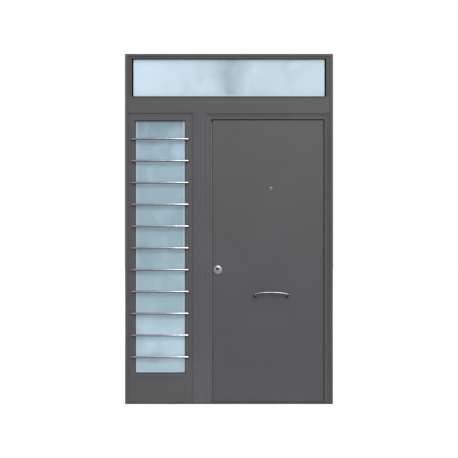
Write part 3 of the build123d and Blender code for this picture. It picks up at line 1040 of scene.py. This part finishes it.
@dataclass
class GuardBars:
    """Round bars that bow outwards, on spacers that stand on the side light's moulding."""

    metal: bpy.types.Material
    post_metal: bpy.types.Material
    count: int = 11
    radius: float = 8.0
    length: float = 412.0
    bow: float = 7.0
    middle_x: float = -491.5
    ends_y: float = -44.0
    lowest: float = 336.0
    pitch: float = 155.6
    stations: int = 41
    spacer_edge: float = 0.5

    def bar(self, height: float) -> Points:
        """One bar: y = ends_y - bow * (1 - s^2), with s from -1 to 1 along its length.

        Args:
            height: The bar's height.

        Returns:
            The bar's grid, with domed ends.
        """
        share = np.linspace(-1, 1, self.stations)
        path = np.stack([self.middle_x + share * (self.length / 2 - self.radius * DOME),
                         self.ends_y - self.bow * (1 - share ** 2), height + 0 * share], axis=-1)
        longer, radii = domed(path, self.radius)
        return swept(longer, radii, (0, 0, 1), steps=32)

    def build(self) -> None:
        """Makes the bars as one piece, and rounds the spacers' edges."""
        shell = Shell()
        for number in range(self.count):
            shell.grid(self.bar(self.lowest + number * self.pitch))
        settle(shell.piece("bowed_guard_bars", 50), Body.FRAME, self.metal,
               ["guard_bars"])
        settle(softened("guard_bar_posts", "guard_bar_spacers", self.spacer_edge,
                        shape=FOLDS.feet_forward), Body.FRAME,
               self.post_metal, ["guard_bar_posts"])


@dataclass
class Leaf:
    """The moving leaf: outer panel, core and inner panel."""

    outer_paint: bpy.types.Material
    edge_paint: bpy.types.Material
    paint: bpy.types.Material
    edge: float = 0.8

    def build(self) -> None:
        """Rounds the leaf's edges and dresses it."""
        rows = (("leaf_outer_panel", "leaf_outer_face", FOLDS.spread, self.outer_paint),
                ("leaf_core", "leaf_body", FOLDS.lowered, self.edge_paint),
                ("leaf_inner_panel", "leaf_inner_face", None, self.paint))
        for node, name, shape, finish in rows:
            settle(softened(node, name, self.edge, shape=shape), Body.LEAF, finish,
                   [node])


@dataclass
class Lock:
    """Domed escutcheon, cylinder, and the faceplate on the leaf's edge."""

    satin: bpy.types.Material
    dark: bpy.types.Material
    x: float = -79.0
    z: float = 958.0
    face_y: float = -21.0
    radius: float = 34.5
    base: float = 3.0
    height: float = 15.0
    mouth: float = 9.5
    mouth_shift: tuple[float, float] = (-3.0, 7.0)
    roundness: float = 3.2
    seam: float = 0.2
    roll: float = 1.2
    still: float = 4.0
    rings: int = 22
    cylinder_edge: float = 0.3
    faceplate_edge: float = 0.4

    def dome(self) -> Points:
        """The escutcheon's ring: a short wall, a flat cap with a round shoulder, a rolled mouth.

        The cap's height at radius r is base + rise * (1 - (r / radius)^n)^(1/n). Within the
        still margin at its edge, its rings drift to the key's mouth as they narrow, because the
        mouth sits above the middle.

        Returns:
            The grid, closed along its profile.
        """
        rise = self.height - self.base
        lean = np.linspace(0.02, 1, self.rings) ** 1.5
        outer = self.radius - self.seam
        radii = outer - lean * (outer - self.mouth - self.roll)
        power = self.roundness
        heights = self.base + rise * (1 - (radii / self.radius) ** power) ** (1 / power)
        cap = list(zip(radii, heights))
        edge = [(self.radius, 0), (self.radius, self.base * 0.7), (self.radius - 0.1, self.base)]
        top = heights[-1]
        lip = [(self.mouth + 0.7, top + 0.1), (self.mouth + 0.2, top - 0.3),
               (self.mouth, top - 1.0), (self.mouth, 0)]
        profile = edge + cap + lip
        grid = turned(profile, (self.x, self.face_y, self.z), (0, -1, 0), steps=72)
        free = self.radius - self.still
        inward = np.clip((free - np.array(profile)[:, 0]) / (free - self.mouth), 0, 1)
        grid[..., 0] += (inward * self.mouth_shift[0])[:, None]
        grid[..., 2] += (inward * self.mouth_shift[1])[:, None]
        return grid

    def build(self) -> None:
        """Makes the escutcheon and the cylinder's plug, near black with painted shade, and rounds
        the faceplate.
        """
        shell = Shell().grid(self.dome(), close_u=True)
        settle(shell.piece("domed_escutcheon"), Body.LEAF, self.satin,
               ["lock_escutcheon"])
        settle(softened("lock_cylinder", "key_cylinder", self.cylinder_edge), Body.LEAF,
               self.dark, ["lock_cylinder"])
        centre = (self.x + self.mouth_shift[0], self.face_y, self.z + self.mouth_shift[1])
        plug = [(0, 8.2), (1.2, 8.2), (1.4, 9.6), (6.4, 9.6), (7.4, 8.8), (self.mouth, 8.6),
                (self.mouth, 0.1), (0, 0.1)]
        settle(Shell().grid(turned(plug, centre, (0, -1, 0), 36)).piece("key_entry"), Body.LEAF,
               self.dark)
        settle(softened("lock_faceplate", "bolt_faceplate", self.faceplate_edge), Body.LEAF,
               self.satin, ["lock_faceplate"])


@dataclass
class Peephole:
    """A viewer through the leaf, with a lens."""

    metal: bpy.types.Material
    lens: bpy.types.Material
    x: float = 298.5
    z: float = 1539.0
    front_y: float = -21.0
    back_y: float = 39.0
    flange: float = 14.0
    tube: float = 7.0
    flange_height: float = 3.0
    lens_sunk: float = 1.2
    lens_rise: float = 3.0
    lens_margin: float = 0.9

    def build(self) -> None:
        """Makes the turned body and the domed lens in its middle."""
        depth = self.back_y - self.front_y
        rim, tube, proud = self.flange, self.tube, self.flange_height
        sunk = -self.lens_sunk
        profile = [(0, sunk), (tube - 1, sunk), (tube - 0.6, -1.0), (tube - 0.3, 2.2),
                   (tube + 0.5, proud), (rim - 3.4, proud - 0.1), (rim - 1.4, proud - 0.9),
                   (rim - 0.3, 1.1), (rim, 0.3), (rim, 0), (tube, 0), (tube, -depth),
                   (rim, -depth), (rim, -depth - 0.8), (rim - 0.8, -depth - 2.4),
                   (rim - 2, -depth - 3), (tube - 2.4, -depth - 3), (tube - 2.6, -depth - 1.4),
                   (0, -depth - 1.4)]
        body = Shell().grid(turned(profile, (self.x, self.front_y, self.z), (0, -1, 0), 48))
        settle(body.piece("peephole_body"), Body.LEAF, self.metal, ["peephole"])
        lean = np.linspace(0, np.pi / 2, 8)
        radius = tube - self.lens_margin
        radii = radius * np.sin(lean)
        heights = sunk + self.lens_rise * np.cos(lean)
        dome = [*zip(radii, heights), (radius, sunk - 0.05), (0, sunk - 0.05)]
        lens = Shell().grid(turned(dome, (self.x, self.front_y, self.z), (0, -1, 0), 32))
        settle(lens.piece("peephole_lens"), Body.LEAF, self.lens)


@dataclass
class PullHandle:
    """An arched pull whose ends slant down to two small feet."""

    metal: bpy.types.Material
    x: float = 300.5
    z: float = 782.0
    span: float = 258.0
    rise: float = 15.0
    radius: float = 6.5
    face_y: float = -21.0
    stand_off: float = 42.0
    foot_radius: float = 10.0
    foot_height: float = 4.0
    foot_drop: float = 16.0
    neck_radius: float = 5.0
    neck_inset: float = 5.5
    foot_inset: float = 19.0
    flatness: float = 2.6
    stations: int = 61

    def arch(self) -> Points:
        """The bar's centre line: z = ends + rise * (1 - |s|^flatness), with s from -1 to 1.

        Returns:
            The line's points.
        """
        share = np.linspace(-1, 1, self.stations)
        half = self.span / 2 - self.radius * DOME
        return np.stack([self.x + share * half, self.face_y - self.stand_off + 0 * share,
                         self.z + self.rise * (1 - np.abs(share) ** self.flatness)], axis=-1)

    def neck(self, side: int) -> Points:
        """One neck: from its foot straight out, then up into the bar's end.

        Args:
            side: -1 for the left neck, 1 for the right one.

        Returns:
            The neck's centre line.
        """
        x = self.x + side * (self.span / 2 - self.neck_inset)
        inner = self.x + side * (self.span / 2 - self.foot_inset)
        low = self.z - self.foot_drop
        out = self.face_y - self.stand_off
        return rounded_route([(inner, self.face_y - 1, low), (inner, self.face_y - 14, low + 1),
                              (x, out + 8, self.z - 6), (x, out, self.z + 1)], [8.0, 6.0], steps=8)

    def build(self) -> None:
        """Makes the bar, its necks and feet as one piece."""
        path, radii = domed(self.arch(), self.radius)
        shell = Shell().grid(swept(path, radii, (0, 1, 0), steps=28))
        rim, high = self.foot_radius, self.foot_height
        profile = [(0, 0), (rim, 0), (rim, high * 0.4), (rim - 0.6, high * 0.75),
                   (rim - 1.8, high), (self.neck_radius, high), (0, high)]
        for side in (-1, 1):
            line = self.neck(side)
            widths = self.neck_radius * np.interp(np.linspace(0, 1, len(line)), [0, 0.25, 1],
                                                  [1.15, 0.92, 1.0])
            shell.grid(swept(line, widths, (1, 0, 0), steps=24))
            foot = (self.x + side * (self.span / 2 - self.foot_inset), self.face_y,
                    self.z - self.foot_drop)
            shell.grid(turned(profile, foot, (0, -1, 0), 36))
        settle(shell.piece("arched_pull_handle", 45), Body.LEAF, self.metal,
               ["pull_handle"])


@dataclass
class Hinges:
    """Three lift-off hinges with screwed plates."""

    metal: bpy.types.Material
    screw_metal: bpy.types.Material
    heights: tuple[float, ...] = (260.0, 1020.0, 1780.0)
    axis: tuple[float, float] = (697.0, 49.0)
    pin_reach: float = 5.3
    pin_share: float = 0.88
    leaf_plate_y: float = 44.0
    leaf_screw_places: tuple[float, ...] = (646.0, 668.0)
    leaf_screw_rises: tuple[float, ...] = (14.0, 46.0)
    frame_plate_y: float = 45.0
    frame_screw_places: tuple[float, ...] = (714.0, 731.5)
    frame_screw_drops: tuple[float, ...] = (12.0, 43.0)
    edge: float = 0.6

    def slim(self, corners: Points) -> Points:
        """Takes the pins in a little, so that their facets stay clear of the turning bores.

        Args:
            corners: The corners of the frame halves.

        Returns:
            The moved corners.
        """
        moved = corners.copy()
        away = corners[:, :2] - self.axis
        pins = np.hypot(*away.T) < self.pin_reach
        moved[pins, :2] = self.axis + away[pins] * self.pin_share
        return moved

    def build(self) -> None:
        """Rounds both halves and puts four screws in each plate."""
        settle(softened("hinge_frame_halves", "hinge_pins_and_plates", self.edge,
                        shape=self.slim), Body.FRAME, self.metal,
               ["hinge_frame_halves"])
        settle(softened("hinge_leaf_halves", "hinge_knuckles_and_plates", self.edge), Body.LEAF,
               self.metal, ["hinge_leaf_halves"])
        leaf = [(x, self.leaf_plate_y, z + rise) for z in self.heights
                for rise in self.leaf_screw_rises for x in self.leaf_screw_places]
        fixed = [(x, self.frame_plate_y, z - drop) for z in self.heights
                 for drop in self.frame_screw_drops for x in self.frame_screw_places]
        settle(Screws().grids(leaf, (0, 1, 0)).piece("hinge_screws_leaf"), Body.LEAF,
               self.screw_metal)
        settle(Screws().grids(fixed, (0, 1, 0)).piece("hinge_screws_frame"), Body.FRAME,
               self.screw_metal)


@dataclass
class InsideHandle:
    """Lever, long plate and thumb turn on the inner side."""

    metal: bpy.types.Material
    x: float = -79.0
    lever_z: float = 1050.0
    face_y: float = 39.0
    plate_width: float = 46.0
    plate_height: float = 240.0
    plate_corner: float = 7.0
    plate_thickness: float = 5.0
    collar_radius: float = 15.0
    radius: float = 8.5
    stand_off: float = 48.0
    length: float = 120.0
    bend: float = 18.0
    screw_margin: float = 12.0
    thumb_turn_edge: float = 1.4

    def lever(self) -> Points:
        """The lever's centre line, out of the plate and round to the side.

        Returns:
            Its points, with stations along both straight runs.
        """
        out = self.face_y + self.stand_off
        corners = [(self.x, self.face_y + self.plate_thickness, self.lever_z),
                   (self.x, out, self.lever_z), (self.x + self.length, out, self.lever_z)]
        path = rounded_route(corners, [self.bend], steps=14)
        start = np.linspace(0, 1, 5)[1:-1, None] * (path[1] - path[0]) + path[0]
        end = np.linspace(0, 1, 9)[1:, None] * (path[-1] - path[-2]) + path[-2]
        return np.concatenate([start, path[1:-1], end])

    def build(self) -> None:
        """Makes the plate with its collar, the lever and the screws, and rounds the turn."""
        thick, rim = self.plate_thickness, self.collar_radius
        centre = (self.x, self.face_y, self.lever_z)
        edge = [(0, 0), (0, thick - 1.6), (0.5, thick - 0.5), (1.6, thick)]
        shell = Shell().grid(plate(self.plate_width, self.plate_height, self.plate_corner, edge,
                                   centre))
        collar = [(0, thick), (rim, thick), (rim, thick + 5), (rim - 0.8, thick + 6),
                  (0, thick + 6)]
        shell.grid(turned(collar, centre, (0, 1, 0), 40))
        longer, radii = domed(self.lever(), self.radius)
        shell.grid(swept(longer, radii, (0, 0, 1), steps=28))
        settle(shell.piece("inside_lever", 45), Body.LEAF, self.metal,
               ["inner_handle"])
        settle(softened("thumb_turn", "thumb_turn_grip", self.thumb_turn_edge, 3), Body.LEAF,
               self.metal, ["thumb_turn"])
        apart = self.plate_height / 2 - self.screw_margin
        ends = [(self.x, self.face_y + thick, self.lever_z + side * apart) for side in (-1, 1)]
        settle(Screws(3.4, 1.2).grids(ends, (0, 1, 0)).piece("lever_plate_screws"), Body.LEAF,
               self.metal)


@dataclass(frozen=True)
class Lamp:
    """One soft rectangular light: its place and size in metres, its power in watts."""

    name: str
    place: tuple[float, float, float]
    size: tuple[float, float]
    power: float

    def build(self, aim: Sequence[float]) -> None:
        """Puts the light in the scene.

        Args:
            aim: The point that it faces.
        """
        lamp = bpy.data.lights.new(self.name, "AREA")
        lamp.shape = "RECTANGLE"
        lamp.size, lamp.size_y = self.size
        lamp.energy = self.power
        holder = bpy.data.objects.new(self.name, lamp)
        holder.location = self.place
        heading = Vector(aim) - Vector(self.place)
        holder.rotation_euler = heading.to_track_quat("-Z", "Y").to_euler()
        bpy.context.scene.collection.objects.link(holder)


@dataclass
class Studio:
    """Camera, floor and soft light, in metres and watts."""

    eye: tuple[float, float, float] = (0.0, -9.121, 1.25)
    lens: float = 100.0
    sensor: float = 36.0
    sight: float = 200.0
    aim: tuple[float, float, float] = (0.0, 0.0, 1.2)
    lamps: tuple[Lamp, ...] = (Lamp("key", (2.9, -18.0, 12.0), (5.4, 13.0), 2000.0),
                               Lamp("top_fill", (0.5, -9.0, 20.0), (6.0, 6.0), 300.0),
                               Lamp("back_fill", (-5.0, 11.0, 9.0), (5.0, 5.0), 1000.0))
    sky: float = 0.62
    ground_light: float = 0.56
    horizon: tuple[float, float] = (-0.2, 0.25)
    sky_tint: Colour = (0.97, 0.98, 1.0)
    floor_half: float = 30.0
    near_glow: float = 0.5
    far_glow: float = 0.85
    glow_reach: tuple[float, float] = (4.0, 60.0)

    def build(self) -> None:
        """Sets up the camera at the photograph's view, the pale floor and the lights."""
        camera = bpy.data.objects.new("camera", bpy.data.cameras.new("camera"))
        camera.location = self.eye
        camera.rotation_euler = (math.pi / 2, 0, 0)
        camera.data.lens = self.lens
        camera.data.sensor_width = self.sensor
        camera.data.clip_end = self.sight
        bpy.context.scene.collection.objects.link(camera)
        bpy.context.scene.camera = camera
        self.floor()
        for lamp in self.lamps:
            lamp.build(self.aim)
        self.world()

    def floor(self) -> None:
        """A wide pale floor that glows more with the square of the distance."""
        half = self.floor_half / MM
        side = np.array([-half, half])
        points = np.stack([*np.meshgrid(side, side, indexing="ij"), np.zeros((2, 2))], axis=-1)
        ground = Shell().grid(points, close_v=False).piece("studio_floor")
        recipe = Recipe("pale_floor")
        tone = recipe.noise(1.5, 2.0)
        colour = recipe.blend(tone, (0.86, 0.86, 0.86), (0.88, 0.88, 0.88))
        x, y = recipe.part(Axis.X), recipe.part(Axis.Y)
        away = (x * x + y * y).step(*self.glow_reach)
        glow = recipe.blend(away, (self.near_glow,) * 3, (self.far_glow,) * 3)
        ground.data.materials.append(recipe.finish(
            Base_Color=colour, Roughness=0.9, Emission_Color=glow, Emission_Strength=1.0))
        ground.visible_diffuse = False
        ground.visible_glossy = False

    def world(self) -> None:
        """White surroundings: plain white to look at, softer as light and weaker from below."""
        world = bpy.data.worlds.new("white_room")
        bpy.context.scene.world = world
        world.use_nodes = True
        tree = world.node_tree
        tree.nodes.clear()
        seen, glow = (tree.nodes.new("ShaderNodeBackground") for _ in range(2))
        seen.inputs["Strength"].default_value = 1.0
        seen.inputs["Color"].default_value = (1, 1, 1, 1)
        heading = tree.nodes.new("ShaderNodeTexCoord")
        parts = tree.nodes.new("ShaderNodeSeparateXYZ")
        rise = tree.nodes.new("ShaderNodeMapRange")
        low, high = self.horizon
        for key, value in {"From Min": low, "From Max": high, "To Min": self.ground_light,
                           "To Max": self.sky}.items():
            rise.inputs[key].default_value = value
        tree.links.new(heading.outputs["Generated"], parts.inputs[0])
        tree.links.new(parts.outputs["Z"], rise.inputs["Value"])
        tree.links.new(rise.outputs[0], glow.inputs["Strength"])
        glow.inputs["Color"].default_value = (*self.sky_tint, 1)
        path = tree.nodes.new("ShaderNodeLightPath")
        mix = tree.nodes.new("ShaderNodeMixShader")
        output = tree.nodes.new("ShaderNodeOutputWorld")
        tree.links.new(path.outputs["Is Camera Ray"], mix.inputs[0])
        tree.links.new(glow.outputs[0], mix.inputs[1])
        tree.links.new(seen.outputs[0], mix.inputs[2])
        tree.links.new(mix.outputs[0], output.inputs["Surface"])
        bpy.context.scene.view_settings.view_transform = "Standard"


def main() -> None:
    """Builds the door set, piece by piece."""
    logging.basicConfig(level=logging.INFO, format="%(name)s: %(message)s")
    Studio().build()
    # where a coat has a second colour, it is painted light at its foot
    paint = PowderCoat("grey_powder_coat", (0.079, 0.079, 0.08), (0.095, 0.095, 0.096)).make()
    # painted shade: a darker copy of the grey coat, for the hinge side's jamb and moulding
    shaded = PowderCoat("grey_powder_coat_painted_shade_hinge_side", (0.068, 0.068, 0.069),
                        (0.08, 0.08, 0.08)).make()
    # painted shade: a darker copy of the grey coat, for the head rail and the transom's posts
    head_shade = PowderCoat("grey_powder_coat_painted_shade_head", (0.061, 0.06, 0.062)).make()
    mullion_paint = PowderCoat("grey_powder_coat_mullion", (0.079, 0.078, 0.086),
                               (0.103, 0.1, 0.109)).make()
    leaf_paint = PowderCoat("grey_powder_coat_leaf", (0.079, 0.079, 0.08),
                            (0.085, 0.083, 0.091)).make()
    # painted light: the leaf's edge is pale grey in front, lightening the gaps round the leaf; past
    # inner_from it has the real grey coat
    edge_paint = PowderCoat("painted_light_leaf_edge", (0.3, 0.3, 0.3), inner=(0.079, 0.079, 0.08),
                            inner_from=0.029).make()
    satin = BrushedSteel("satin_fittings", (0.42, 0.415, 0.445), Axis.X, 0.34).make()
    # painted shade: the bars and the pull handle turn darker on their undersides
    bar_metal = BrushedSteel("brushed_bars", (0.46, 0.44, 0.49), Axis.X, 0.15,
                             painted_shade_below=(0.15, 0.14, 0.16)).make()
    post_metal = BrushedSteel("brushed_spacers", (0.2, 0.2, 0.21), Axis.Y, 0.36).make()
    viewer_metal = BrushedSteel("peephole_metal", (0.32, 0.32, 0.33), Axis.X, 0.5).make()
    chrome = PolishedSteel("polished_handle", (0.35, 0.34, 0.38), (0.12, 0.12, 0.125),
                           roughness=0.2).make()
    # painted shade: the cylinder and the key's mouth are near black, for the shade inside the
    # escutcheon's mouth
    dark = BrushedSteel("painted_shade_cylinder", (0.03, 0.028, 0.03), Axis.Z, 0.45).make()
    # painted light: past inner_from the sill is pale, lightening the gap under the leaf
    sill = PowderCoat("sill_coat", (0.05, 0.05, 0.051), roughness=0.6,
                      inner=(0.3, 0.3, 0.3)).make()
    lip_rubber = Rubber("lip_rubber", (0.035, 0.038, 0.042), (0.045, 0.048, 0.05)).make()
    black_rubber = Rubber("black_rubber", (0.002, 0.002, 0.003), (0.006, 0.006, 0.007),
                          gloss=1.15).make()
    # painted light: the side light's gasket turns pale along its right side, next to the mullion,
    # offsetting the shade there
    grey_rubber = Rubber("grey_rubber", (0.04, 0.05, 0.056), (0.05, 0.06, 0.066),
                         pale=(0.15, 0.15, 0.155), pale_from=(-0.34, 0.24)).make()
    # painted light: the leaf's seal is pale grey, lightening the gap round the leaf
    seal_rubber = Rubber("painted_light_seal_rubber", (0.42, 0.42, 0.42), (0.48, 0.48, 0.48)).make()
    hinge_metal = PowderCoat("hinge_powder_coat", (0.075, 0.075, 0.077), roughness=0.4).make()
    # the glass tones are painted reflections of sky and cloud over a pale tint; the side light also
    # gets one painted highlight near its top right
    side_glass = PaleGlass(
        "side_light_pale_glass", Axis.Z, 0.218, 2.026,
        ((0.0, srgb(178, 203, 217)), (0.12, srgb(197, 225, 240)), (0.3, srgb(166, 194, 205)),
         (0.6, srgb(158, 186, 196)), (0.85, srgb(166, 191, 206)), (1.0, srgb(136, 158, 171))),
        cloud=srgb(148, 176, 188), bright=srgb(186, 211, 230), rim=srgb(206, 220, 228),
        sides=(-0.6665, -0.3165), bottom=0.224, highlight_at=(-0.338, 1.808),
        highlight_size=(0.095, 0.085)).make()
    top_glass = PaleGlass(
        "transom_pale_glass", Axis.X, -0.694, 0.694,
        ((0.0, srgb(214, 236, 249)), (0.4, srgb(199, 221, 234)), (0.5, srgb(164, 185, 197)),
         (0.62, srgb(197, 219, 232)), (1.0, srgb(201, 224, 236))),
        cloud=srgb(176, 199, 212), bright=srgb(216, 236, 250), rim=srgb(222, 234, 242),
        sides=(-0.684, 0.684), bottom=2.2).make()
    PaintedFrame(paint, shaded, head_shade, mullion_paint, sill, seal_rubber, satin,
                 lip_rubber).build()
    SideLightFrame(paint).build()
    GlazedLight("side_light", side_glass, paint, grey_rubber).build()
    GlazedLight("transom", top_glass, paint, black_rubber).build()
    GuardBars(bar_metal, post_metal).build()
    Leaf(leaf_paint, edge_paint, paint).build()
    Lock(satin, dark).build()
    Peephole(viewer_metal, LensGlass("peephole_lens_glass").make()).build()
    PullHandle(chrome).build()
    Hinges(hinge_metal, satin).build()
    InsideHandle(satin).build()


if __name__ == "__main__":
    main()
